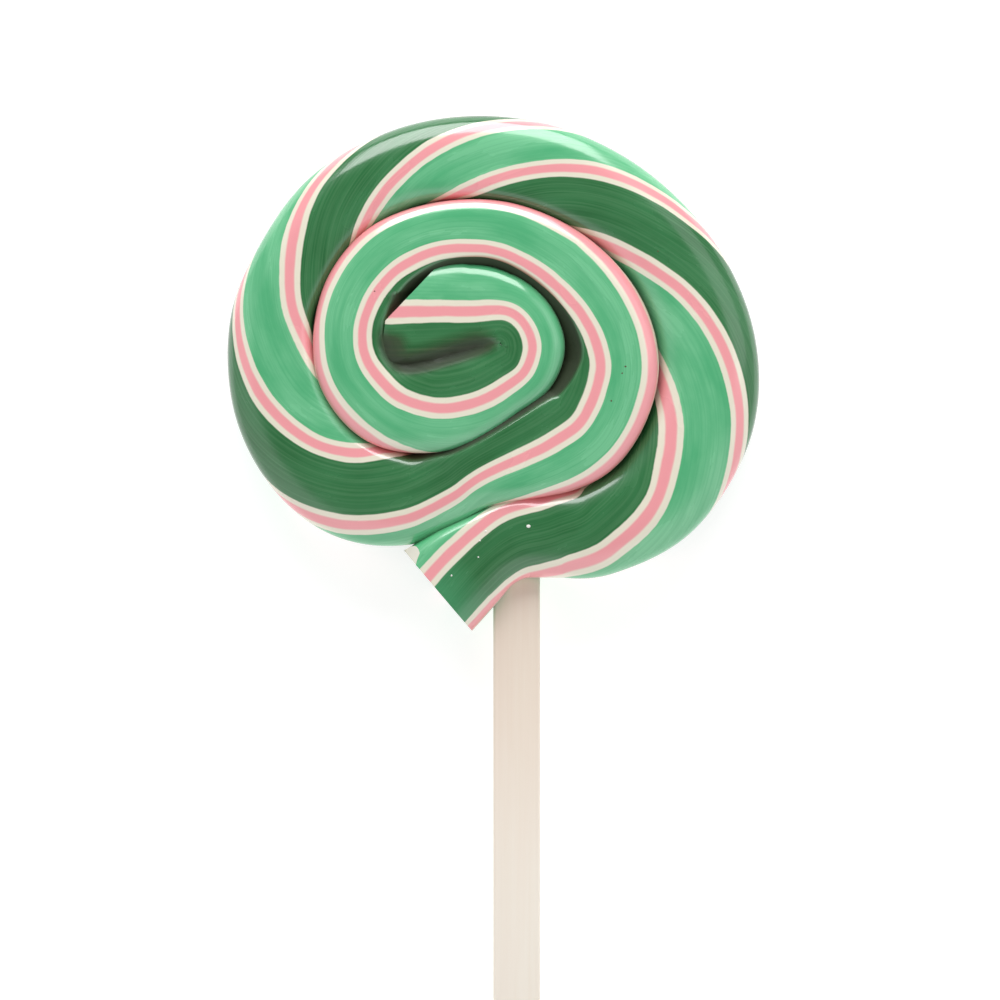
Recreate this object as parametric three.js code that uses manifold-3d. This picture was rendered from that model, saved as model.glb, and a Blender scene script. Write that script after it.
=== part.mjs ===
// Swirl lollipop: a rope of hard sugar rolled up flat, with a wooden stick pushed into its edge.
//
// Millimetres, +Z up. It lies on its flat back on z = 0, with the patterned side up, and its
// stick points along -Y. The origin is on the back, at the middle of the disc's widest span.

import * as THREE from 'three';
import { mergeVertices } from 'three/addons/utils/BufferGeometryUtils.js';
import Module from 'manifold-3d';

// ---- The rope's route -----------------------------------------------------------------------
// Stations along the middle of the rope, from its pinched start in the hook out to the cut tail:
// [x, y, half of the rope's width there]. Each stretch is short enough not to meet itself.

const innerLeg = [
  [-12.8, 6.1, 5.5],
  [-3.2, 7.6, 5.2],
  [1.0, 7.4, 4.4],
];

const ringLeft = [
  [3.7, 5.8, 3.8],
  [4.9, 3.0, 3.7],
  [3.8, 0.3, 3.8],
  [0.9, -1.3, 4.4],
  [-3.2, -3.0, 5.3],
  [-7.7, -4.2, 5.4],
  [-12.5, -3.4, 5.4],
  [-16.1, 0.1, 4.8],
  [-16.9, 4.9, 4.4],
  [-15.3, 9.8, 4.5],
];

const ringRight = [
  [-11.6, 13.9, 4.4],
  [-5.6, 16.3, 4.0],
  [1.4, 16.2, 4.0],
  [8.0, 12.8, 4.5],
  [12.7, 7.2, 5.1],
  [14.2, 0.8, 5.6],
  [11.7, -5.3, 6.1],
  [7.5, -8.4, 6.1],
  [-1.4, -12.1, 4.1],
];

const rimLeft = [
  [-5.7, -14.0, 4.6],
  [-10.9, -15.2, 5.5],
  [-16.9, -14.0, 5.9],
  [-22.1, -9.8, 5.8],
  [-25.6, -3.2, 5.5],
  [-26.6, 5.0, 4.9],
  [-24.4, 11.9, 4.6],
  [-18.9, 19.7, 4.6],
  [-10.5, 24.4, 4.7],
];

const rimRight = [
  [-1.5, 25.7, 4.9],
  [7.5, 24.0, 5.1],
  [15.9, 19.2, 5.3],
  [22.4, 11.8, 5.5],
  [25.6, 2.9, 5.9],
  [25.0, -6.1, 6.1],
  [20.0, -14.6, 5.9],
  [12.9, -18.8, 5.5],
  [7.9, -19.4, 5.2],
  [3.4, -19.8, 4.9],
  [0.1, -21.3, 4.7],
  [-3.1, -23.6, 5.4],
  [-6.4, -26.4, 6.0],
];

// ---- The rope's section ---------------------------------------------------------------------

const rimHeight = 10.4; // of the outer turn above the slab that it was pressed on
const hubHeight = 11.6; // of the hook and ring, which stand a little proud
const hubCentre = new THREE.Vector3(-0.7, 5.6, 0);
const hubRadius = 16; // out to which the rope has the hub's height
const rimRadius = 22; // beyond which it has the rim's
const waistHeight = 4.6; // level at which the rope is widest
const tuck = 1.09; // its inner side reaches this much further, under the turn inside it
const lap = 1.03; // and its outer side this much, over the turn outside it
const outerRoundness = 3.0; // superellipse powers: 2 is an ellipse, more is squarer
const innerRoundness = 2.4;
const backRoundness = 3.2;
const pressed = 0.45; // how much of the round back is flattened by the slab

// The hook is folded back on itself about a pivot.
const foldPivot = new THREE.Vector3(1.0, 3.1, 0);
const foldTuck = 0.2; // more of the inner side is squeezed in close to the fold
const foldNear = 4.3; // from the fold, where the squeeze is full
const foldFar = 8; // and where it has faded out
const foldStop = 0.97; // of the way to the pivot: as far as the folding sections reach
const foldOpening = 1.2; // and this much further for each millimetre that they pass beside it
const foldCore = { radius: 0.6, bottom: 1, top: 9, sides: 12 }; // sugar squeezed up at the pivot

const topSides = 12; // faces over the top of a section
const backSides = 6; // and round its back
const stepsPerStation = 4;

// The start is snipped off at a slant on both sides of a tip.
const snipOuter = 1.0; // cut back by this much for each millimetre off the middle
const snipInner = 0.1;
const snipStations = 1.1; // stations over which the sections turn square to the rope again

// ---- The stick ------------------------------------------------------------------------------

const stickWidth = 5.6;
const stickThickness = 3.8;
const stickLength = 115;
const stickX = 2.9; // its middle
const stickTop = -4.5; // y of the end that is held in the candy
const stickLevel = 4.6; // height of its middle
const stickEdge = 0.4; // its long edges and its ends are softened by this
const socketGap = 0.3; // between stick and candy

// ---- Sweeping -------------------------------------------------------------------------------

const stretches = [innerLeg, ringLeft, ringRight, rimLeft, rimRight];
const stations = stretches.flat();
const lastStation = stations.length - 1;

const throughPoints = (points) => new THREE.CatmullRomCurve3(points, false, 'catmullrom', 0.5);
const centreLine = throughPoints(stations.map(([x, y]) => new THREE.Vector3(x, y, 0)));
const girth = throughPoints(stations.map(([, , halfWidth]) => new THREE.Vector3(halfWidth, 0, 0)));

function ropeHeight(centre) {
  const fromHub = centre.distanceTo(hubCentre);
  const towardsRim = THREE.MathUtils.smoothstep(fromHub, hubRadius, rimRadius);
  return THREE.MathUtils.lerp(hubHeight, rimHeight, towardsRim);
}

// The angles of a section's points: 0 at its outer side, 90 degrees at its crown.
function sectionAngles() {
  const angles = [];
  for (let i = 0; i < topSides; i++) {
    angles.push((Math.PI * i) / topSides);
  }
  for (let i = 0; i < backSides; i++) {
    angles.push(Math.PI + (Math.PI * i) / backSides);
  }
  return angles;
}

// One point of a section: how far across the rope, outwards, and how high.
function sectionPoint(angle, shape) {
  const cosine = Math.cos(angle);
  const sine = Math.sin(angle);
  const top = sine > 0;
  const outer = cosine > 0;
  const sideRoundness = outer ? outerRoundness : innerRoundness;
  const power = 2 / (top ? sideRoundness : backRoundness);
  const reach = outer ? shape.outerReach : -shape.innerReach;
  const across = Math.max(-shape.innerStop, reach * Math.abs(cosine) ** power);
  const swell = Math.abs(sine) ** power;
  const above = waistHeight + (shape.height - waistHeight) * swell;
  const below = waistHeight - (waistHeight + pressed) * swell;
  return { across, up: top ? above : Math.max(0, below) };
}

function sectionAt(station) {
  const share = station / lastStation;
  const centre = centreLine.getPoint(share);
  const along = centreLine.getTangent(share);
  const outwards = new THREE.Vector3(-along.y, along.x, 0);
  const halfWidth = girth.getPoint(share).x;
  const toPivot = foldPivot.clone().sub(centre);
  const squeeze = 1 - THREE.MathUtils.smoothstep(toPivot.length(), foldNear, foldFar);
  const shape = {
    height: ropeHeight(centre),
    outerReach: halfWidth * lap,
    innerReach: halfWidth * (tuck + foldTuck * squeeze),
    innerStop: foldStop * Math.abs(toPivot.dot(outwards)) + foldOpening * Math.abs(toPivot.dot(along)),
  };
  const slant = Math.max(0, 1 - station / snipStations);
  return sectionAngles().map((angle) => {
    const { across, up } = sectionPoint(angle, shape);
    const point = centre.clone();
    point.addScaledVector(outwards, across);
    point.addScaledVector(along, slant * Math.max(snipOuter * across, -snipInner * across));
    return point.setZ(up);
  });
}

// A closed piece of the rope between two stations, both ends fanned from the rope's middle.
function sweepRope(firstStation, endStation) {
  const steps = (endStation - firstStation) * stepsPerStation;
  const sides = topSides + backSides;
  const points = [];
  const triangles = [];
  for (let i = 0; i <= steps; i++) {
    points.push(...sectionAt(firstStation + i / stepsPerStation));
  }
  for (let i = 0; i < steps; i++) {
    for (let j = 0; j < sides; j++) {
      const here = i * sides + j;
      const next = i * sides + ((j + 1) % sides);
      triangles.push(here, next, next + sides);
      triangles.push(here, next + sides, here + sides);
    }
  }
  const lastRing = steps * sides;
  const ends = [
    [firstStation, 0, true],
    [endStation, lastRing, false],
  ];
  for (const [station, ring, isStart] of ends) {
    const middle = points.length;
    points.push(centreLine.getPoint(station / lastStation).setZ(waistHeight));
    for (let j = 0; j < sides; j++) {
      const here = ring + j;
      const next = ring + ((j + 1) % sides);
      triangles.push(middle, isStart ? next : here, isStart ? here : next);
    }
  }
  const geometry = new THREE.BufferGeometry().setFromPoints(points);
  geometry.setIndex(triangles);
  return geometry;
}

// ---- Joining and cutting --------------------------------------------------------------------

const wasm = await Module();
wasm.setup();

function toSolid(geometry) {
  const bare = geometry.clone();
  bare.deleteAttribute('normal');
  bare.deleteAttribute('uv');
  const merged = mergeVertices(bare);
  const vertProperties = new Float32Array(merged.attributes.position.array);
  const triVerts = new Uint32Array(merged.index.array);
  return new wasm.Manifold(new wasm.Mesh({ numProp: 3, vertProperties, triVerts }));
}

function toGeometry(solid) {
  const mesh = solid.getMesh();
  const geometry = new THREE.BufferGeometry();
  geometry.setAttribute('position', new THREE.BufferAttribute(mesh.vertProperties, 3));
  geometry.setIndex(new THREE.BufferAttribute(mesh.triVerts, 1));
  geometry.computeVertexNormals();
  return geometry;
}

// ---- The candy ------------------------------------------------------------------------------

function stickSocket() {
  const geometry = new THREE.BoxGeometry(
    stickWidth + 2 * socketGap,
    stickLength,
    stickThickness + 2 * socketGap,
  );
  geometry.translate(stickX, stickTop + socketGap - stickLength / 2, stickLevel);
  return toSolid(geometry);
}

function foldedCore() {
  const { radius, bottom, top, sides } = foldCore;
  const geometry = new THREE.CylinderGeometry(radius, radius, top - bottom, sides);
  geometry.rotateX(Math.PI / 2);
  geometry.translate(foldPivot.x, foldPivot.y, (top + bottom) / 2);
  return toSolid(geometry);
}

// The turns of the rope are fused where they touch, so the stretches are joined into one solid.
function candyGeometry() {
  let rope = foldedCore();
  let first = 0;
  for (const stretch of stretches) {
    const end = Math.min(first + stretch.length, lastStation);
    rope = rope.add(toSolid(sweepRope(first, end)));
    first = end;
  }
  return toGeometry(rope.subtract(stickSocket()));
}

// ---- The stick ------------------------------------------------------------------------------

function stickGeometry() {
  const halfWidth = stickWidth / 2 - stickEdge;
  const halfThickness = stickThickness / 2 - stickEdge;
  const outline = new THREE.Shape();
  outline.moveTo(-halfWidth, -halfThickness);
  outline.lineTo(halfWidth, -halfThickness);
  outline.lineTo(halfWidth, halfThickness);
  outline.lineTo(-halfWidth, halfThickness);
  outline.closePath();
  return new THREE.ExtrudeGeometry(outline, {
    depth: stickLength - 2 * stickEdge,
    bevelSize: stickEdge,
    bevelThickness: stickEdge,
    bevelSegments: 2,
  });
}

// ---- The lollipop ---------------------------------------------------------------------------

const sugar = new THREE.MeshStandardMaterial({ color: '#6bb98c', roughness: 0.25, metalness: 0 });
const wood = new THREE.MeshStandardMaterial({ color: '#e6dbcd', roughness: 0.75, metalness: 0 });

const candy = new THREE.Mesh(candyGeometry(), sugar);
candy.name = 'candy_swirl';

const stick = new THREE.Mesh(stickGeometry(), wood);
stick.name = 'wooden_stick';
stick.rotation.x = Math.PI / 2;
stick.position.set(stickX, stickTop - stickEdge, stickLevel);

const lollipop = new THREE.Group();
lollipop.name = 'swirl_lollipop';
lollipop.add(candy, stick);

export default lollipop;
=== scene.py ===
# Swirl lollipop: a striped rope of pulled hard sugar rolled up flat, on a planed wooden stick.
# It lies on its flat back with the patterned side up, and the stick points along -Y.
# The frame is in metres. Sizes of the object are written in millimetres and turned by MM.

import math

import bpy
import numpy as np
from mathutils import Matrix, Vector


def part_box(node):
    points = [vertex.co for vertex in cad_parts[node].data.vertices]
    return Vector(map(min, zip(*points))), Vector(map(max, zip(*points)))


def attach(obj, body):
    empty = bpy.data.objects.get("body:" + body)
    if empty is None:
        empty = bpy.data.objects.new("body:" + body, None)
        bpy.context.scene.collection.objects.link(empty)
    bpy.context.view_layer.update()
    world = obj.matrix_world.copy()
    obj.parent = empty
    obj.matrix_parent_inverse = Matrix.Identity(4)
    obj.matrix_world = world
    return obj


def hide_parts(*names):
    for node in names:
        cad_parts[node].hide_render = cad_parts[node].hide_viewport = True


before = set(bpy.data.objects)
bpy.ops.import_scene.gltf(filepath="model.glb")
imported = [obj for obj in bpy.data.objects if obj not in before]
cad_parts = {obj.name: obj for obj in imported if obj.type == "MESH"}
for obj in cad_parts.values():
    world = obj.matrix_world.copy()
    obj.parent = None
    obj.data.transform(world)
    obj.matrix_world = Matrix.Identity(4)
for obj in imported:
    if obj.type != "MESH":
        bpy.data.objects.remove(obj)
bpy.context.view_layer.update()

MM = 0.001


# ---- The rope of sugar -------------------------------------------------------------------------
# One hot rope of boiled sugar: a batch of light and dark green strips with cream and pink ribbons
# between them, pulled thin, twisted, rolled up from its pinched start and pressed on a slab.
# Its turns fuse where they touch, and it sets hard and glossy.

# Stations along the rope's middle, from the snipped start to the cut tail: [x, y, half width].
inner_leg = [[-12.8, 6.1, 5.5], [-3.2, 7.6, 5.2], [1.0, 7.4, 4.4]]
ring_left = [
    [3.7, 5.8, 3.8], [4.9, 3.0, 3.7], [3.8, 0.3, 3.8], [0.9, -1.3, 4.4], [-3.2, -3.0, 5.3],
    [-7.7, -4.2, 5.4], [-12.5, -3.4, 5.4], [-16.1, 0.1, 4.8], [-16.9, 4.9, 4.4], [-15.3, 9.8, 4.5],
]
ring_right = [
    [-11.6, 13.9, 4.4], [-5.6, 16.3, 4.0], [1.4, 16.2, 4.0], [8.0, 12.8, 4.5], [12.7, 7.2, 5.1],
    [14.2, 0.8, 5.6], [11.7, -5.3, 6.1], [7.5, -8.4, 6.1], [-1.4, -12.1, 4.1],
]
rim_left = [
    [-5.7, -14.0, 4.6], [-10.9, -15.2, 5.5], [-16.9, -14.0, 5.9], [-22.1, -9.8, 5.8],
    [-25.6, -3.2, 5.5], [-26.6, 5.0, 4.9], [-24.4, 11.9, 4.6], [-18.9, 19.7, 4.6],
    [-10.5, 24.4, 4.7],
]
rim_right = [
    [-1.5, 25.7, 4.9], [7.5, 24.0, 5.1], [15.9, 19.2, 5.3], [22.4, 11.8, 5.5], [25.6, 2.9, 5.9],
    [25.0, -6.1, 6.1], [20.0, -14.6, 5.9], [12.9, -18.8, 5.5], [7.9, -19.4, 5.2],
    [3.4, -19.8, 4.9], [0.1, -21.3, 4.7], [-3.1, -23.6, 5.4], [-6.4, -26.4, 6.0],
]
stretches = [inner_leg, ring_left, ring_right, rim_left, rim_right]
stations = np.array(sum(stretches, []))
last_station = len(stations) - 1

# How far the rope has been twisted by then, outwards over its crown: [station, turns].
twist_knots = np.array([
    [0, 0.023], [1, -0.009], [2.5, 0.002], [4, -0.004], [7, 0.026], [9.5, -0.04], [11.5, -0.04],
    [13.5, -0.049], [16, -0.065], [19, -0.016], [21.5, 0.027], [24, 0.128], [26, 0.308],
    [27.5, 0.447], [29, 0.642], [30, 0.784], [31.5, 0.953], [32.5, 1.068], [33.5, 1.16],
    [34.5, 1.267], [36, 1.402], [37.5, 1.561], [39, 1.647], [41, 1.692], [43, 1.728],
])

# The ribbons' places round the rope and their half widths, in turns: neither they nor the strips
# between them are equally wide. The map evens them out: a ribbon every quarter, all of one width.
ribbon_places = [0.0, 0.211, 0.488, 0.74, 1.0]
ribbon_half_widths = [0.035, 0.039, 0.047, 0.038, 0.035]
even_half_width = 0.0357
uneven_turns = []
even_turns = []
for number, (place, half) in enumerate(zip(ribbon_places, ribbon_half_widths)):
    uneven_turns += [place - half, place, place + half]
    even_turns += [0.25 * number - even_half_width, 0.25 * number, 0.25 * number + even_half_width]

# Pressing has spread the strips on the top. It has crowded the ribbon on the hub's outer shoulder
# inwards, and out at the rim all that lies on the outer shoulder: [station, turns].
pressed_spread = 0.132
hub_crowding = np.array([
    [0, 0], [6, 0], [9, 0.049], [12, 0.033], [16, 0.015], [18, 0.043], [20.5, 0.06], [23, 0.03],
    [25.5, 0], [39.5, 0], [42, 0.02], [43, 0.02],
])
rim_crowding = np.array([
    [24, 0], [25, 0.01], [26, 0.03], [28, 0.06], [30, 0.05], [32, 0.045], [34, 0.03], [36, 0.02],
    [38, 0], [41, 0], [42, 0.03], [43, 0.05],
])

# Where round the rope the crowding bears, in turns: it comes in over one range and goes out over the
# other. The rim's ranges are counted from the crown. The hub's are counted from the ribbon that lies
# on it: the first one up to a station in the outer turn, and past that the second one, two turns on.
hub_crowding_begins = [0.04, 0.135]
hub_crowding_ends = [0.3, 0.5]
rim_crowding_begins = [0.06, 0.2]
rim_crowding_ends = [0.3, 0.45]
second_ribbon_station = 30

# The section: a domed top that turns over a shoulder into an upright side, and a flattened back.
# In the hub the top is flat up to the shoulder, and out at the rim it is a low round dome. Each side
# reaches past the half width, by the shares tuck and lap, so that neighbouring turns fuse. The rope's
# ends close in on the height of its waist.
hub_centre = np.array([-0.7, 5.6])
hub_radius = 16.0
rim_radius = 22.0
height = {"hub": 11.55, "rim": 10.4}
outer_shoulder = {"hub": 1.5, "rim": 2.8}
inner_shoulder = {"hub": 4.0, "rim": 3.2}
outer_flatness = {"hub": 3.2, "rim": 2.2}
inner_flatness = {"hub": 20.0, "rim": 2.8}
back_shoulder = 3.4
back_flatness = 3.0
pressed = 0.4
waist_height = 5.0
tuck = 1.09
lap = 1.025

# The outer turn's left part and the tail turn over more sharply on their inner side.
sharp_turns = np.array([[22, 0], [23.5, 3.5], [28, 3.5], [30, 0], [39.5, 0], [41, 10], [43, 10]])

# From the ring to the S-bend the inner side is pressed into a sloping flank with a crisp ridge
# along its top: [station, place of the ridge as a share of the half width].
ridge_knots = np.array([
    [7.0, 0.8], [12.5, 0.78], [14.0, 0.68], [16.0, 0.66], [17.5, 0.6], [19.5, 0.74], [21.0, 0.8],
    [26.0, 0.8],
])
ridge_roundness = 0.12
flank_slope = 1.15
flank_begins = [10.6, 12.2]
flank_ends = [20.8, 23.2]

# Painted shade: the sides are painted darker by their depth below the crown, and the flank by so
# many times that depth more. The snipped end gets an even painted shade. The sides come out of
# their grooves over these stations.
flank_shade = 7.0
snip_shade = 2.5
outer_side_opens = [20.5, 22.5]
inner_side_opens = [42, 43]

# The hook, folded back on itself about a pivot, and its snipped start.
fold_pivot = np.array([1.4, 3.4])
fold_tuck = 0.2
fold_near = 4.3
fold_far = 8.0
fold_stop = 0.995
fold_opening = 1.2
snip_outer = 1.3
snip_inner = 0.3
snip_stations = 1.1

# The valley where the hook's two halves run together: [x, y] along it, and the falls into it. The
# half before the turn lies above it and the other below. Stretches of the valley are counted in its
# points, and fold_ends and the lap's two ranges in the rope's stations.
fold_line = np.array([
    [-13.6, 9.0], [-13.2, 7.0], [-12.9, 5.0], [-12.3, 3.1], [-11.0, 1.1], [-8.7, 1.0],
    [-5.3, 1.9], [-2.3, 2.8], [0.2, 3.3], [1.4, 3.4],
])
fold_depth = 0.85
fold_deepens = [1.0, 3.5]
fold_fades = [6.5, 9.0]
fold_reach = {"upper": 0.9, "lower": 3.0}
fold_curl = {"upper": 1.0, "lower": 1.5}
fold_overrun = 0.12
# Painted shade along the valley: its depth's worth in millimetres, where along the valley it comes and
# goes, and how far it reaches on each side.
fold_shade = 3.6
fold_shade_begins = [1.5, 3.0]
fold_shade_ends = [7.0, 9.0]
fold_shade_reach = {"upper": 3.2, "lower": 1.7}
fold_turn = 3.6
fold_ends = [12.3, 13.5]
fold_lap = 0.25
fold_lap_begins = [0.0, 1.0]
fold_lap_ends = [9.5, 11.0]

# How finely the rope is made. Its columns crowd together along the ridge: how near to it, in turns,
# and by what share.
section_sides = 88
outline_points = 301
rows_per_station = 14
length_steps = 20
fold_steps = 10
end_shrinks = [0.35, 0.65, 0.85, 0.95, 0.992]
crowd_width = 0.03
crowd_share = 0.75


def smoothstep(value, low, high):
    share = np.clip((value - low) / (high - low), 0, 1)
    return share * share * (3 - 2 * share)


def between(value, begins, ends):
    """Rises from 0 to 1 over the first range and falls back to 0 over the second."""
    return smoothstep(value, *begins) * (1 - smoothstep(value, *ends))


def along_knots(knots, place):
    """A smooth uniform curve through the knots, at places counted in knots, and its direction."""
    knots = np.asarray(knots, float)
    ends = [2 * knots[0] - knots[1], 2 * knots[-1] - knots[-2]]
    padded = np.vstack([ends[0], knots, ends[1]])
    first = np.clip(np.floor(place).astype(int), 0, len(knots) - 2)
    t = (place - first)[:, None]
    a, b, c, d = (padded[first + i] for i in range(4))
    point = b + 0.5 * t * (c - a + t * (2 * a - 5 * b + 4 * c - d + t * (3 * (b - c) + d - a)))
    slope = 0.5 * (c - a + t * (2 * (2 * a - 5 * b + 4 * c - d) + t * 3 * (3 * (b - c) + d - a)))
    return point, slope


def smooth_through(knots, station):
    """The second column of the knots at a station, smooth through them."""
    slopes = np.gradient(knots[:, 1], knots[:, 0])
    i = np.clip(np.searchsorted(knots[:, 0], station, side="right") - 1, 0, len(knots) - 2)
    gap = knots[i + 1, 0] - knots[i, 0]
    t = (station - knots[i, 0]) / gap
    rise = knots[i + 1, 1] - knots[i, 1]
    start, end = slopes[i] * gap, slopes[i + 1] * gap
    return knots[i, 1] + t * (start + t * (3 * rise - 2 * start - end + t * (start + end - 2 * rise)))


run_stations = np.linspace(0, last_station, last_station * length_steps + 1)
run_middle = along_knots(stations, run_stations)[0][:, :2]
run_steps = np.linalg.norm(np.diff(run_middle, axis=0), axis=1)
run_lengths = np.concatenate([[0], np.cumsum(run_steps)])

fold_places = np.linspace(0, len(fold_line) - 1, (len(fold_line) - 1) * fold_steps + 1)
fold_curve, fold_heading = along_knots(fold_line, fold_places)


def nearest_in_fold(x, y):
    """For each place, which of the valley's points is nearest to it and how far off that is."""
    apart = np.hypot(x[..., None] - fold_curve[:, 0], y[..., None] - fold_curve[:, 1])
    return apart.argmin(axis=-1), apart.min(axis=-1)


def fall_into_valley(station, x, y):
    """How far the hook's skin falls into the valley, and runs on below the other half past it."""
    nearest, apart = nearest_in_fold(x, y)
    heading = fold_heading[nearest]
    from_line_x, from_line_y = x - fold_curve[nearest, 0], y - fold_curve[nearest, 1]
    leftward = heading[..., 0] * from_line_y - heading[..., 1] * from_line_x
    upper = station[:, None] < fold_turn
    own_side = ((leftward > 0) == upper) | (nearest == 0) | (nearest == len(fold_curve) - 1)
    to_valley = np.where(own_side, 1, -1) * apart
    reach = np.where(upper, fold_reach["upper"], fold_reach["lower"])
    curl = np.where(upper, fold_curl["upper"], fold_curl["lower"])
    deep = fold_depth * between(fold_places[nearest], fold_deepens, fold_fades)
    sunk = deep * np.clip(1 - to_valley / reach, 0, 1) ** curl
    sunk = sunk + fold_overrun * np.maximum(0, -to_valley)
    return sunk * (1 - smoothstep(station[:, None], *fold_ends))


def rope_rows(station, shrink):
    """The rope's rows of points, one for each station, and their shares of the way round the skin."""
    middle, slope = along_knots(stations, station)
    centre = middle[:, :2]
    half_width = middle[:, 2:3]
    along = slope[:, :2] / np.linalg.norm(slope[:, :2], axis=1, keepdims=True)
    outwards = np.stack([-along[:, 1], along[:, 0]], axis=1)
    from_hub = np.linalg.norm(centre - hub_centre, axis=1, keepdims=True)
    towards_rim = smoothstep(from_hub, hub_radius, rim_radius)
    to_pivot = fold_pivot - centre
    squeeze = 1 - smoothstep(np.linalg.norm(to_pivot, axis=1, keepdims=True), fold_near, fold_far)
    beside = np.abs(np.sum(to_pivot * outwards, axis=1, keepdims=True))
    past = np.abs(np.sum(to_pivot * along, axis=1, keepdims=True))
    inner_stop = fold_stop * beside + fold_opening * past

    # The section as a dense outline: crown, outer side, back, inner side and crown again.
    top = height["hub"] + (height["rim"] - height["hub"]) * towards_rim
    outer_reach = half_width * lap
    folded = between(station, fold_lap_begins, fold_lap_ends)[:, None]
    inner_reach = -half_width * (tuck + fold_tuck * squeeze + fold_lap * folded)
    quarter = np.linspace(0.5 * np.pi, 0, outline_points)[None, :]
    parts = []
    for reach, shoulder, flatness, inner in (
        (outer_reach, outer_shoulder, outer_flatness, False),
        (inner_reach, inner_shoulder, inner_flatness, True),
    ):
        depth = shoulder["hub"] + (shoulder["rim"] - shoulder["hub"]) * towards_rim
        flat = flatness["hub"] + (flatness["rim"] - flatness["hub"]) * towards_rim
        if inner:
            flat = flat + np.interp(station, *sharp_turns.T)[:, None]
            over = np.linspace(0, 1, outline_points)[None, :] * reach
            over_up = top - depth * (1 - np.sqrt(1 - (over / reach) ** flat))
            ridge = np.interp(station, *ridge_knots.T)[:, None] * half_width
            past_ridge = (np.abs(over) - ridge) / ridge_roundness
            flank_up = top - flank_slope * ridge_roundness * np.logaddexp(0, past_ridge)
            flanked = between(station, flank_begins, flank_ends)[:, None]
            over_up = over_up + (flank_up - over_up) * flanked
        else:
            over = reach * np.cos(quarter) ** (2 / flat)
            over_up = top - depth * (1 - np.sin(quarter))
        under = (reach * np.cos(quarter) ** (2 / back_flatness))[:, ::-1]
        under_up = (back_shoulder - (back_shoulder + pressed) * np.sin(quarter))[:, ::-1]
        across = np.concatenate([over, under], axis=1)
        up = np.concatenate([over_up, np.repeat(under_up, len(station), axis=0)], axis=1)
        parts.append((across[:, ::-1], up[:, ::-1]) if inner else (across, up))
    across = np.concatenate([part[0] for part in parts], axis=1)
    up = np.maximum(0, np.concatenate([part[1] for part in parts], axis=1))
    across = np.maximum(-inner_stop, across)

    # Both halves of the hook fall into the valley between them on their inner sides.
    fall = np.zeros_like(up)
    in_hook = station < fold_ends[1]
    x = centre[in_hook, :1] + across[in_hook] * outwards[in_hook, :1]
    y = centre[in_hook, 1:] + across[in_hook] * outwards[in_hook, 1:]
    fall[in_hook] = np.where(across[in_hook] < 0, fall_into_valley(station[in_hook], x, y), 0)
    up = np.where(up > waist_height, np.maximum(waist_height, up - fall), up)

    # Columns are spread evenly round the skin, but for a crowd of them along the ridge.
    step = np.hypot(np.diff(across, axis=1), np.diff(up, axis=1))
    run = np.concatenate([np.zeros((len(station), 1)), np.cumsum(step, axis=1)], axis=1)
    even = np.arange(section_sides) / section_sides - 0.5
    share = np.empty((len(station), section_sides))
    rows = np.empty((len(station), section_sides, 3))
    slant = np.maximum(0, 1 - station / snip_stations)
    for i in range(len(station)):
        inner_run = np.interp(-ridge[i, 0], across[i, -outline_points:], run[i, -outline_points:])
        ridge_share = inner_run / run[i, -1] - 1
        beside_ridge = even - ridge_share
        crowd = crowd_share * np.exp(-((beside_ridge / crowd_width) ** 2))
        share[i] = ridge_share + beside_ridge * (1 - crowd)
        wanted = (share[i] % 1.0) * run[i, -1]
        side = np.interp(wanted, run[i], across[i]) * shrink[i]
        rise = np.interp(wanted, run[i], up[i])
        shift = slant[i] * np.maximum(snip_outer * side, snip_inner * side)
        rows[i, :, :2] = centre[i] + side[:, None] * outwards[i] + shift[:, None] * along[i]
        rows[i, :, 2] = waist_height + (rise - waist_height) * shrink[i]
    return rows, share


def ribbon_turns(station, share):
    """Turns round the rope untwisted, from share turns round it as it lies: a ribbon every quarter."""
    spread = share + pressed_spread * np.sin(4 * np.pi * share) / (4 * np.pi)
    untwisted = spread - smooth_through(twist_knots, station)
    second_ribbon = np.where(station > second_ribbon_station, 2 - ribbon_places[1], 0)
    in_hub = between(untwisted + second_ribbon, hub_crowding_begins, hub_crowding_ends)
    at_rim = between(share, rim_crowding_begins, rim_crowding_ends)
    crowded = np.interp(station, *hub_crowding.T) * in_hub
    crowded = crowded + np.interp(station, *rim_crowding.T) * at_rim
    turn = untwisted + crowded
    return np.floor(turn) + np.interp(turn - np.floor(turn), uneven_turns, even_turns)


def depth_in_groove(station, share, below_crown, x, y):
    """How deep the skin lies in a groove or in the hook's valley, in millimetres, for painted shade."""
    inner_hidden = 1 - smoothstep(station, *inner_side_opens)
    inner_hidden = inner_hidden + flank_shade * between(station, flank_begins, flank_ends)
    outer_hidden = 1 - smoothstep(station, *outer_side_opens)
    nearest, apart = nearest_in_fold(x, y)
    reach = np.where(station < fold_turn, fold_shade_reach["upper"], fold_shade_reach["lower"])
    valley_shade = fold_shade * np.clip(1 - apart / reach, 0, 1)
    valley_shade = valley_shade * between(fold_places[nearest], fold_shade_begins, fold_shade_ends)
    in_hook = (station < fold_ends[1]) & (share < 0)
    hidden = np.where(share < 0, inner_hidden, outer_hidden)
    return below_crown * hidden + np.where(in_hook, valley_shade, 0)


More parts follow.
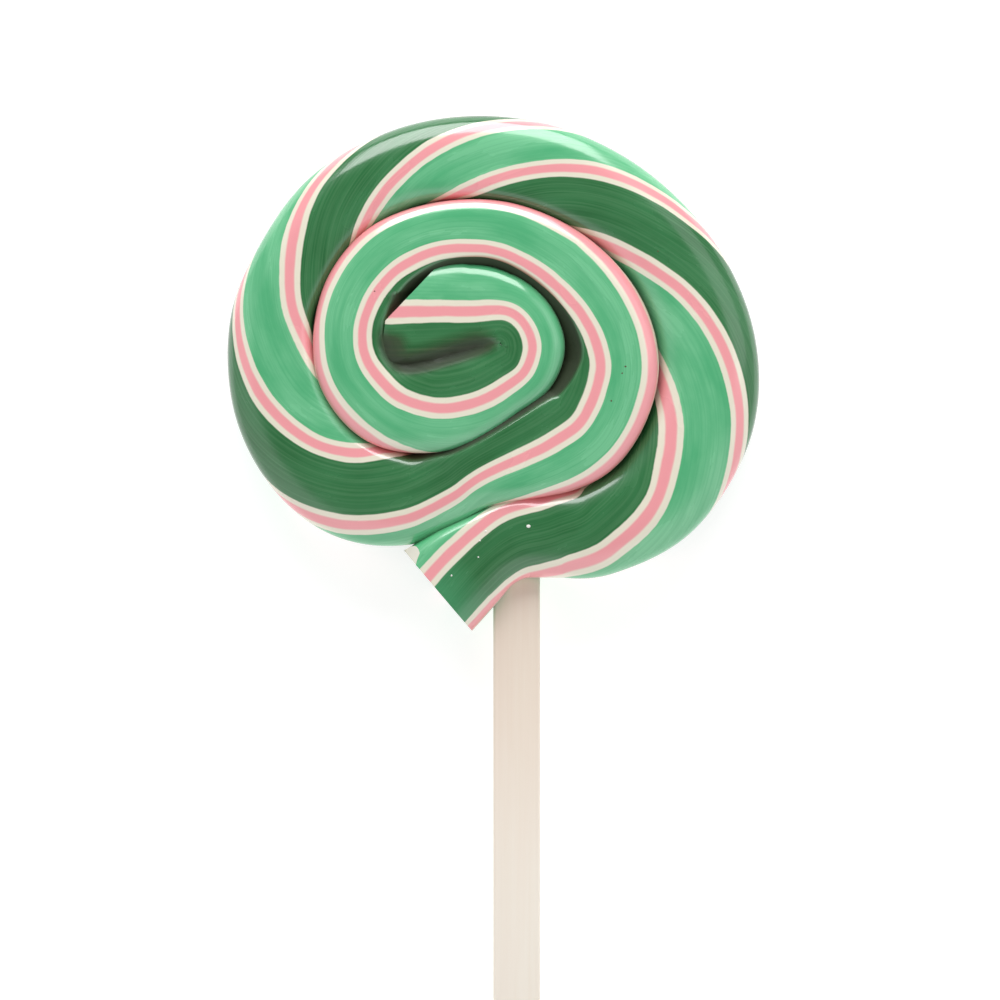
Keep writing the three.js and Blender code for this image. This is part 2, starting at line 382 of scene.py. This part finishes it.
def rope_stretch(name, first, end):
    """A ball rolled out into the rope between two stations. Its poles close the two ends."""
    body = np.linspace(first, end, (end - first) * rows_per_station + 1)
    station = np.concatenate([[first] * (len(end_shrinks) + 1), body, [end] * (len(end_shrinks) + 1)])
    shrink = np.concatenate([[0], end_shrinks, np.ones(len(body)), end_shrinks[::-1], [0]])
    bpy.ops.object.select_all(action="DESELECT")
    bpy.ops.mesh.primitive_uv_sphere_add(segments=section_sides, ring_count=len(station) - 1)
    piece = bpy.context.active_object
    piece.name = name
    mesh = piece.data

    # The ball's own map says which row and which column each corner is on.
    corners = np.empty(len(mesh.loops) * 2)
    mesh.uv_layers[0].data.foreach_get("uv", corners)
    corners = corners.reshape(-1, 2)
    vertex = np.empty(len(mesh.loops), int)
    mesh.loops.foreach_get("vertex_index", vertex)
    row = np.rint((1 - corners[:, 1]) * (len(station) - 1)).astype(int)
    column = np.rint(corners[:, 0] * section_sides * 2) / 2

    rows, share = rope_rows(station, shrink)
    rows = rows * MM
    places = np.empty((len(mesh.vertices), 3))
    places[vertex] = rows[row, np.rint(column).astype(int) % section_sides]
    mesh.vertices.foreach_set("co", places.ravel())

    # The map becomes the sugar's own: millimetres along the rope, and turns round it untwisted.
    # Past the rope's ends the first of them goes on as the depth below the skin.
    depth = (1 - shrink) * stations[0 if first == 0 else last_station, 2]
    run = np.interp(station, run_stations, run_lengths)
    run = run + depth * np.where(np.arange(len(station)) < len(station) / 2, -1, 1)
    before, after = np.floor(column).astype(int), np.ceil(column).astype(int)
    share = (
        share[row, before % section_sides] + before // section_sides
        + share[row, after % section_sides] + after // section_sides
    ) / 2
    turn = ribbon_turns(station[row], share)
    mesh.uv_layers[0].data.foreach_set("uv", np.stack([run[row], turn], axis=1).ravel())
    mesh.uv_layers[0].name = "sugar_run"

    # The shader paints shade into the sugar by how deep it lies in a groove.
    crowns = rows[:, section_sides // 2, 2]
    below_crown = (crowns[row] - places[vertex, 2]) / MM
    x, y = places[vertex, 0] / MM, places[vertex, 1] / MM
    crevice = depth_in_groove(station[row], share, below_crown, x, y)
    # The snipped end gets an even painted shade.
    if first == 0:
        crevice = crevice + np.where(depth[row] > 0, snip_shade, 0)
    mesh.attributes.new("crevice", "FLOAT", "CORNER").data.foreach_set("value", crevice)
    return piece


def apply_boolean(piece, other, operation):
    """Joins the other piece to the first or cuts it away, and removes the other."""
    modifier = piece.modifiers.new(operation.lower(), "BOOLEAN")
    modifier.operation = operation
    modifier.solver = "MANIFOLD"
    modifier.object = other
    bpy.ops.object.select_all(action="DESELECT")
    bpy.context.view_layer.objects.active = piece
    piece.select_set(True)
    bpy.ops.object.modifier_apply(modifier=modifier.name)
    bpy.data.objects.remove(other)


begin = len(inner_leg)
rope = rope_stretch("sugar_rope", 0, begin)
for number, stretch in enumerate(stretches[1:], 1):
    finish = min(begin + len(stretch), last_station)
    apply_boolean(rope, rope_stretch(f"rope_part_{number}", begin, finish), "UNION")
    begin = finish

# A core closes the fold's pivot, round which the rope's rows only meet. Its place on the map lies in
# a dark strip.
core_radius = 0.4
core_low = 1.0
core_high = 11.53
core_map = [20.0, 0.375]
bpy.ops.object.select_all(action="DESELECT")
bpy.ops.mesh.primitive_cylinder_add(
    vertices=24, radius=core_radius * MM, depth=(core_high - core_low) * MM,
    location=(fold_pivot[0] * MM, fold_pivot[1] * MM, (core_low + core_high) / 2 * MM),
)
core = bpy.context.active_object
core.data.uv_layers[0].name = "sugar_run"
core.data.uv_layers[0].data.foreach_set("uv", np.tile(core_map, len(core.data.loops)))
bpy.ops.object.transform_apply(location=True, rotation=True, scale=True)
apply_boolean(rope, core, "UNION")

# The corner of the cut tail has chipped off, in a plane through three points, with a box that stands
# on it. The broken face is pale: its place on the map lies in a cream ribbon.
chip_map = [20.0, 0.027]
chip_size = 4.5
chip_overlap = 0.1
chip_edge = [Vector((-8.95, -20.95, 10.0)), Vector((-8.75, -23.3, 9.7)), Vector((-10.5, -21.9, 6.0))]
chip_normal = (chip_edge[1] - chip_edge[0]).cross(chip_edge[2] - chip_edge[0]).normalized()
chip_normal = chip_normal if chip_normal.z > 0 else -chip_normal
chip_long = (chip_edge[1] - chip_edge[0]).normalized()
chip_wide = chip_normal.cross(chip_long)
chip_wide = chip_wide if chip_wide.dot(chip_edge[2] - chip_edge[0]) > 0 else -chip_wide
chip_length = (chip_edge[1] - chip_edge[0]).length
bpy.ops.object.select_all(action="DESELECT")
bpy.ops.mesh.primitive_cube_add(size=1)
chip = bpy.context.active_object
for point in chip.data.vertices:
    lengthways = chip_long * (point.co.x + 0.5) * chip_length
    sideways = chip_wide * (point.co.y + 0.5 - chip_overlap) * chip_size
    upwards = chip_normal * (point.co.z + 0.5) * chip_size
    point.co = (chip_edge[0] + lengthways + sideways + upwards) * MM
if chip_long.cross(chip_wide).dot(chip_normal) < 0:
    chip.data.flip_normals()
chip.data.uv_layers[0].name = "sugar_run"
chip.data.uv_layers[0].data.foreach_set("uv", np.tile(chip_map, len(chip.data.loops)))
apply_boolean(rope, chip, "DIFFERENCE")

# The stick's socket: the sugar has set close round the stick.
stick_low, stick_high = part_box("wooden_stick")
socket_gap = 0.03 * MM
bpy.ops.object.select_all(action="DESELECT")
bpy.ops.mesh.primitive_cube_add(size=1, location=(stick_low + stick_high) / 2)
socket = bpy.context.active_object
socket.scale = stick_high - stick_low + Vector((2, 2, 2)) * socket_gap
bpy.ops.object.transform_apply(location=True, rotation=True, scale=True)
apply_boolean(rope, socket, "DIFFERENCE")

bpy.ops.object.select_all(action="DESELECT")
bpy.context.view_layer.objects.active = rope
rope.select_set(True)
bpy.ops.object.shade_smooth_by_angle(angle=math.radians(38))


def linear(colour):
    """An sRGB hex colour as the linear colour that a shader takes."""
    shares = [int(colour[i : i + 2], 16) / 255 for i in (1, 3, 5)]
    return [c / 12.92 if c <= 0.04045 else ((c + 0.055) / 1.055) ** 2.4 for c in shares] + [1.0]


def add_node(tree, kind, inputs=(), links=(), **settings):
    """Adds a node with its settings, its input values and its incoming links."""
    node = tree.nodes.new(kind)
    for name, value in settings.items():
        setattr(node, name, value)
    for socket_name, value in dict(inputs).items():
        node.inputs[socket_name].default_value = value
    for socket_name, source in dict(links).items():
        tree.links.new(source, node.inputs[socket_name])
    return node


# Pulled hard sugar, twisted and pressed hot: opaque colours, crisp ribbons, a clear glassy skin
# with fine lengthwise draw lines. They are about 0.3 mm apart, coarser than the real ones.
sugar = bpy.data.materials.new("pulled_hard_sugar_twisted")
sugar.use_nodes = True
tree = sugar.node_tree
shader = tree.nodes["Principled BSDF"]
own_map = add_node(tree, "ShaderNodeUVMap", uv_map="sugar_run").outputs["UV"]
split = add_node(tree, "ShaderNodeSeparateXYZ", links={"Vector": own_map})
run_mm = split.outputs["X"]
turns = split.outputs["Y"]
quarter_girth = 9.5

# The ribbons' edges wander by less than a tenth of a millimetre.
wander_place = add_node(
    tree, "ShaderNodeVectorMath", {1: (0.16, 7.0, 0)}, {0: own_map}, operation="MULTIPLY"
)
wander = add_node(
    tree, "ShaderNodeTexNoise", {"Scale": 1.0, "Detail": 3.0}, {"Vector": wander_place.outputs[0]}
)
wander_turns = add_node(
    tree, "ShaderNodeMapRange", {"To Min": -0.006, "To Max": 0.006}, {"Value": wander.outputs[0]}
)
wandered = add_node(tree, "ShaderNodeMath", links={0: turns, 1: wander_turns.outputs[0]}, operation="ADD")
quarters = add_node(tree, "ShaderNodeMath", {1: 4.0}, {0: wandered.outputs[0]}, operation="MULTIPLY")
from_ribbon = add_node(tree, "ShaderNodeMath", {1: 0.5}, {0: quarters.outputs[0]}, operation="PINGPONG")
from_ribbon_mm = add_node(
    tree, "ShaderNodeMath", {1: quarter_girth}, {0: from_ribbon.outputs[0]}, operation="MULTIPLY"
)
pair = add_node(tree, "ShaderNodeMath", {1: 2.0, 2: 0.0}, {0: quarters.outputs[0]}, operation="WRAP")
is_dark = add_node(tree, "ShaderNodeMath", {1: 1.0}, {0: pair.outputs[0]}, operation="GREATER_THAN")

# Clouds of paler and deeper sugar, and draw lines, both drawn out along the strips.
cloud_place = add_node(
    tree, "ShaderNodeVectorMath", {1: (0.10, 9.0, 0)}, {0: own_map}, operation="MULTIPLY"
)
cloud = add_node(
    tree, "ShaderNodeTexNoise", {"Scale": 1.0, "Detail": 4.0}, {"Vector": cloud_place.outputs[0]}
)
draw_place = add_node(
    tree, "ShaderNodeVectorMath", {1: (0.05, 120.0, 0)}, {0: own_map}, operation="MULTIPLY"
)
draw = add_node(
    tree, "ShaderNodeTexNoise", {"Scale": 1.0, "Detail": 2.0}, {"Vector": draw_place.outputs[0]}
)
cloudy = add_node(
    tree, "ShaderNodeMapRange", {"From Min": 0.36, "From Max": 0.64}, {"Value": cloud.outputs[0]}
)
lined = add_node(
    tree, "ShaderNodeMapRange", {"From Min": 0.42, "From Max": 0.72, "To Max": 0.45},
    {"Value": draw.outputs[0]},
)
light_clouds = add_node(
    tree, "ShaderNodeMix", {6: linear("#56B77F"), 7: linear("#78CC98")}, {0: cloudy.outputs[0]},
    data_type="RGBA",
)
light_green = add_node(
    tree, "ShaderNodeMix", {7: linear("#49AE76")}, {0: lined.outputs[0], 6: light_clouds.outputs[2]},
    data_type="RGBA",
)
dark_clouds = add_node(
    tree, "ShaderNodeMix", {6: linear("#256B38"), 7: linear("#347B48")}, {0: cloudy.outputs[0]},
    data_type="RGBA",
)
dark_green = add_node(
    tree, "ShaderNodeMix", {7: linear("#5B9465")}, {0: lined.outputs[0], 6: dark_clouds.outputs[2]},
    data_type="RGBA",
)

# Towards the cut tail the dark green is thinner and paler.
rope_length = float(run_lengths[-1])
thins_from = rope_length - 5.0
thins_to = rope_length - 0.5
thinned = add_node(
    tree, "ShaderNodeMapRange", {"From Min": thins_from, "From Max": thins_to, "To Max": 0.55},
    {"Value": run_mm},
)
dark_to_tail = add_node(
    tree, "ShaderNodeMix", {7: linear("#4BA471")}, {0: thinned.outputs[0], 6: dark_green.outputs[2]},
    data_type="RGBA",
)
greens = add_node(
    tree, "ShaderNodeMix",
    links={0: is_dark.outputs[0], 6: light_green.outputs[2], 7: dark_to_tail.outputs[2]}, data_type="RGBA",
)

# The cream and pink ribbons, with softly fused edges.
cream_edge = add_node(
    tree, "ShaderNodeMapRange", {"From Min": 1.23, "From Max": 1.40, "To Min": 1.0, "To Max": 0.0},
    {"Value": from_ribbon_mm.outputs[0]}, interpolation_type="SMOOTHSTEP",
)
with_cream = add_node(
    tree, "ShaderNodeMix", {7: linear("#F2ECD8")}, {0: cream_edge.outputs[0], 6: greens.outputs[2]},
    data_type="RGBA",
)
pink_edge = add_node(
    tree, "ShaderNodeMapRange", {"From Min": 0.45, "From Max": 0.74, "To Min": 1.0, "To Max": 0.0},
    {"Value": from_ribbon_mm.outputs[0]}, interpolation_type="SMOOTHSTEP",
)
with_pink = add_node(
    tree, "ShaderNodeMix", {7: linear("#FBA5AB")}, {0: pink_edge.outputs[0], 6: with_cream.outputs[2]},
    data_type="RGBA",
)

# Painted shade down in the grooves: the sugar's colour is darkened and reddened there by how deep it lies.
crevice = add_node(tree, "ShaderNodeAttribute", attribute_name="crevice")
groove_shade = add_node(
    tree, "ShaderNodeMapRange", {"From Min": 0.6, "From Max": 2.2}, {"Value": crevice.outputs["Fac"]}
)
with_groove_shade = add_node(
    tree, "ShaderNodeMix", {7: linear("#E1A69E")}, {0: groove_shade.outputs[0], 6: with_pink.outputs[2]},
    data_type="RGBA", blend_type="MULTIPLY",
)
# Painted shade, darker and browner still, in the deepest gaps.
gap_shade = add_node(
    tree, "ShaderNodeMapRange", {"From Min": 1.8, "From Max": 4.2, "To Max": 0.85},
    {"Value": crevice.outputs["Fac"]},
)
with_gap_shade = add_node(
    tree, "ShaderNodeMix", {7: linear("#303425")}, {0: gap_shade.outputs[0], 6: with_groove_shade.outputs[2]},
    data_type="RGBA",
)
tree.links.new(with_gap_shade.outputs[2], shader.inputs["Base Color"])

# The skin is glazed and smooth on top, and dull down in the grooves.
glazed = add_node(
    tree, "ShaderNodeMapRange", {"From Min": 0.6, "From Max": 2.4, "To Min": 1.0, "To Max": 0.1},
    {"Value": crevice.outputs["Fac"]},
)
tree.links.new(glazed.outputs[0], shader.inputs["Coat Weight"])
worn = add_node(
    tree, "ShaderNodeMapRange", {"From Min": 0.35, "From Max": 0.65, "To Min": 0.14, "To Max": 0.3},
    {"Value": cloud.outputs[0]},
)
dull = add_node(
    tree, "ShaderNodeMapRange", {"From Min": 0.6, "From Max": 2.4, "To Min": 0.0, "To Max": 0.6},
    {"Value": crevice.outputs["Fac"]},
)
roughness = add_node(
    tree, "ShaderNodeMath", links={0: worn.outputs[0], 1: dull.outputs[0]}, operation="MAXIMUM"
)
tree.links.new(roughness.outputs[0], shader.inputs["Roughness"])
drawn = add_node(
    tree, "ShaderNodeBump", {"Strength": 0.5, "Distance": 0.008 * MM}, {"Height": draw.outputs[0]}
)
tree.links.new(drawn.outputs[0], shader.inputs["Normal"])
tree.links.new(drawn.outputs[0], shader.inputs["Coat Normal"])
shader.inputs["IOR"].default_value = 1.5
shader.inputs["Coat Roughness"].default_value = 0.12
shader.inputs["Coat IOR"].default_value = 1.6

rope.data.materials.clear()
rope.data.materials.append(sugar)
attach(rope, "root")
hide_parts("candy_swirl")


# ---- Crumbs on the rope -------------------------------------------------------------------------
# Grains of white sugar and specks of burnt sugar from the slab, stuck in the skin while it was hot.

# Where each lies and its radius: [x, y, radius]. Each is a little longer than wide and turned from
# the one before it. The grains stand up from the skin and the specks lie nearly flat in it.
white_grains = [
    [4.3, -18.5, 0.26], [-0.8, -19.1, 0.13], [-1.5, -20.2, 0.12], [-1.7, -22.2, 0.11],
    [-4.9, -24.4, 0.13],
]
burnt_specks = [
    [15.9, 0.6, 0.13], [15.5, -0.2, 0.11], [14.2, -3.5, 0.12], [-14.1, 9.6, 0.1], [19.8, 14.4, 0.09],
]
crumb_width = 0.8
crumb_turn = 1.1
grain_rise = 0.75
speck_rise = 0.3
above_rope = 30

# Undissolved sugar: white and matt.
white_sugar = bpy.data.materials.new("white_sugar_grains")
white_sugar.use_nodes = True
shader = white_sugar.node_tree.nodes["Principled BSDF"]
shader.inputs["Base Color"].default_value = linear("#FBFAF4")
shader.inputs["Roughness"].default_value = 0.5

# Burnt sugar: dark brown and glossy.
burnt_sugar = bpy.data.materials.new("burnt_sugar_specks")
burnt_sugar.use_nodes = True
shader = burnt_sugar.node_tree.nodes["Principled BSDF"]
shader.inputs["Base Color"].default_value = linear("#5C4B38")
shader.inputs["Roughness"].default_value = 0.25

crumb_pieces = []
for kind, rise, material in (
    (white_grains, grain_rise, white_sugar), (burnt_specks, speck_rise, burnt_sugar),
):
    for number, (x, y, radius) in enumerate(kind):
        place = rope.ray_cast(Vector((x, y, above_rope)) * MM, Vector((0, 0, -1)))[1]
        bpy.ops.object.select_all(action="DESELECT")
        bpy.ops.mesh.primitive_ico_sphere_add(subdivisions=2, radius=radius * MM, location=place)
        crumb = bpy.context.active_object
        crumb.scale = (1.0, crumb_width, rise)
        crumb.rotation_euler = (0, 0, crumb_turn * number)
        bpy.ops.object.transform_apply(location=True, rotation=True, scale=True)
        crumb.data.materials.append(material)
        crumb_pieces.append(crumb)
bpy.ops.object.select_all(action="DESELECT")
for crumb in crumb_pieces:
    crumb.select_set(True)
bpy.ops.object.join()
crumbs = bpy.context.active_object
crumbs.name = "sugar_crumbs"
bpy.ops.object.shade_smooth()
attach(crumbs, "root")
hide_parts("candy_swirl")


# ---- The stick ---------------------------------------------------------------------------------
# A flat-faced stick of planed birch, sawn square and pushed into the rope's edge while it is warm.

edge_round = 0.35 * MM
bpy.ops.object.select_all(action="DESELECT")
bpy.ops.mesh.primitive_cube_add(size=1, location=(stick_low + stick_high) / 2)
stick = bpy.context.active_object
stick.name = "birch_stick"
stick.scale = stick_high - stick_low
bpy.ops.object.transform_apply(location=True, rotation=True, scale=True)
rounding = stick.modifiers.new("sanded_edges", "BEVEL")
rounding.width = edge_round
rounding.segments = 4
bpy.ops.object.modifier_apply(modifier="sanded_edges")
bpy.ops.object.shade_smooth_by_angle(angle=math.radians(50))

# Planed birch: a pale, close grain of fine darker lines along the stick, in faint warm patches.
birch = bpy.data.materials.new("planed_birch")
birch.use_nodes = True
tree = birch.node_tree
shader = tree.nodes["Principled BSDF"]
in_stick = add_node(tree, "ShaderNodeTexCoord").outputs["Object"]
grain_place = add_node(
    tree, "ShaderNodeVectorMath", {1: (2600, 60, 900)}, {0: in_stick}, operation="MULTIPLY"
)
grain = add_node(
    tree, "ShaderNodeTexNoise", {"Scale": 1.0, "Detail": 5.0, "Roughness": 0.6},
    {"Vector": grain_place.outputs[0]},
)
grain_lines = add_node(
    tree, "ShaderNodeMapRange", {"From Min": 0.3, "From Max": 0.7}, {"Value": grain.outputs[0]}
)
patch_place = add_node(
    tree, "ShaderNodeVectorMath", {1: (260, 45, 260)}, {0: in_stick}, operation="MULTIPLY"
)
patches = add_node(
    tree, "ShaderNodeTexNoise", {"Scale": 1.0, "Detail": 2.0}, {"Vector": patch_place.outputs[0]}
)
wood = add_node(
    tree, "ShaderNodeMix", {6: linear("#F9F0E1"), 7: linear("#FEF8EC")}, {0: grain_lines.outputs[0]},
    data_type="RGBA",
)
warm_wood = add_node(
    tree, "ShaderNodeMix", {7: linear("#FBEFE2")}, {0: patches.outputs[0], 6: wood.outputs[2]},
    data_type="RGBA",
)

# It is a little darker near the candy: painted shade where the candy shades it.
shade_from = -66 * MM
shade_to = -32 * MM
stick_parts = add_node(tree, "ShaderNodeSeparateXYZ", links={"Vector": in_stick})
near_candy = add_node(
    tree, "ShaderNodeMapRange", {"From Min": shade_from, "From Max": shade_to},
    {"Value": stick_parts.outputs["Y"]}, interpolation_type="SMOOTHSTEP",
)
shaded_wood = add_node(
    tree, "ShaderNodeMix", {7: linear("#F3ECE8")}, {0: near_candy.outputs[0], 6: warm_wood.outputs[2]},
    data_type="RGBA", blend_type="MULTIPLY",
)
tree.links.new(shaded_wood.outputs[2], shader.inputs["Base Color"])
shader.inputs["Roughness"].default_value = 0.6
raised = add_node(
    tree, "ShaderNodeBump", {"Strength": 0.3, "Distance": 0.02 * MM}, {"Height": grain.outputs[0]}
)
tree.links.new(raised.outputs[0], shader.inputs["Normal"])
stick.data.materials.append(birch)
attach(stick, "root")
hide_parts("wooden_stick")


# ---- Floor, light and camera -------------------------------------------------------------------
# A pale table top, a large soft light low behind the disc's far edge and a weak one to its right, in
# a pale room that is dimmer overhead and on the far side.

bpy.ops.object.select_all(action="DESELECT")
floor_size = 4
floor_gap = 0.02 * MM
bpy.ops.mesh.primitive_plane_add(size=floor_size, location=(0, 0, -floor_gap))
floor = bpy.context.active_object
floor.name = "floor"
paper = bpy.data.materials.new("matt_white_paper")
paper.use_nodes = True
shader = paper.node_tree.nodes["Principled BSDF"]
shader.inputs["Base Color"].default_value = linear("#B8B8B8")
shader.inputs["Roughness"].default_value = 0.9
shader.inputs["Emission Color"].default_value = (1, 1, 1, 1)
shader.inputs["Emission Strength"].default_value = 0.72
floor.data.materials.append(paper)

world = bpy.data.worlds.new("pale_room")
bpy.context.scene.world = world
world.use_nodes = True
tree = world.node_tree
direction = add_node(tree, "ShaderNodeTexCoord").outputs["Generated"]
direction_parts = add_node(tree, "ShaderNodeSeparateXYZ", links={"Vector": direction})
wall = add_node(
    tree, "ShaderNodeMapRange", {"From Min": 0.93, "From Max": 0.78, "To Min": 0.28, "To Max": 1.0},
    {"Value": direction_parts.outputs["Z"]}, interpolation_type="SMOOTHSTEP",
)
side = add_node(
    tree, "ShaderNodeMapRange", {"From Min": 0.7, "From Max": -0.7, "To Min": 0.22, "To Max": 1.0},
    {"Value": direction_parts.outputs["Y"]},
)
room = add_node(
    tree, "ShaderNodeMath", links={0: wall.outputs[0], 1: side.outputs[0]}, operation="MULTIPLY"
)
background = tree.nodes["Background"]
background.inputs["Color"].default_value = (1, 1, 1, 1)
tree.links.new(room.outputs[0], background.inputs["Strength"])


def soft_light(name, place, aim, width, height, watts):
    """A rectangle of light at a place, turned to face the aim."""
    light = bpy.data.lights.new(name, "AREA")
    light.shape = "RECTANGLE"
    light.size = width
    light.size_y = height
    light.energy = watts
    holder = bpy.data.objects.new(name, light)
    holder.location = place
    holder.rotation_euler = (Vector(aim) - Vector(place)).to_track_quat("-Z", "Y").to_euler()
    bpy.context.scene.collection.objects.link(holder)


on_disc = (0, 0, 0.01)
soft_light("back_softbox", (0, 0.62, 0.36), on_disc, width=0.7, height=0.5, watts=5.5)
soft_light("side_panel", (0.5, 0.23, 0.55), on_disc, width=0.45, height=0.4, watts=0.4)

# Looking straight down, from far enough away that the disc shows hardly any perspective. The view is
# frame_width wide at the height frame_height.
frame_width = 120 * MM
frame_height = 7 * MM
view_centre = Vector((0.9, -15.36, 0)) * MM
camera_height = 1.2
camera = bpy.data.cameras.new("camera")
camera.sensor_width = 36
camera.lens = camera.sensor_width * (camera_height - frame_height) / frame_width
camera.clip_start = 0.05
camera.clip_end = 20
viewer = bpy.data.objects.new("camera", camera)
viewer.location = view_centre + Vector((0, 0, camera_height))
bpy.context.scene.collection.objects.link(viewer)
bpy.context.scene.camera = viewer
bpy.context.scene.view_settings.view_transform = "Standard"
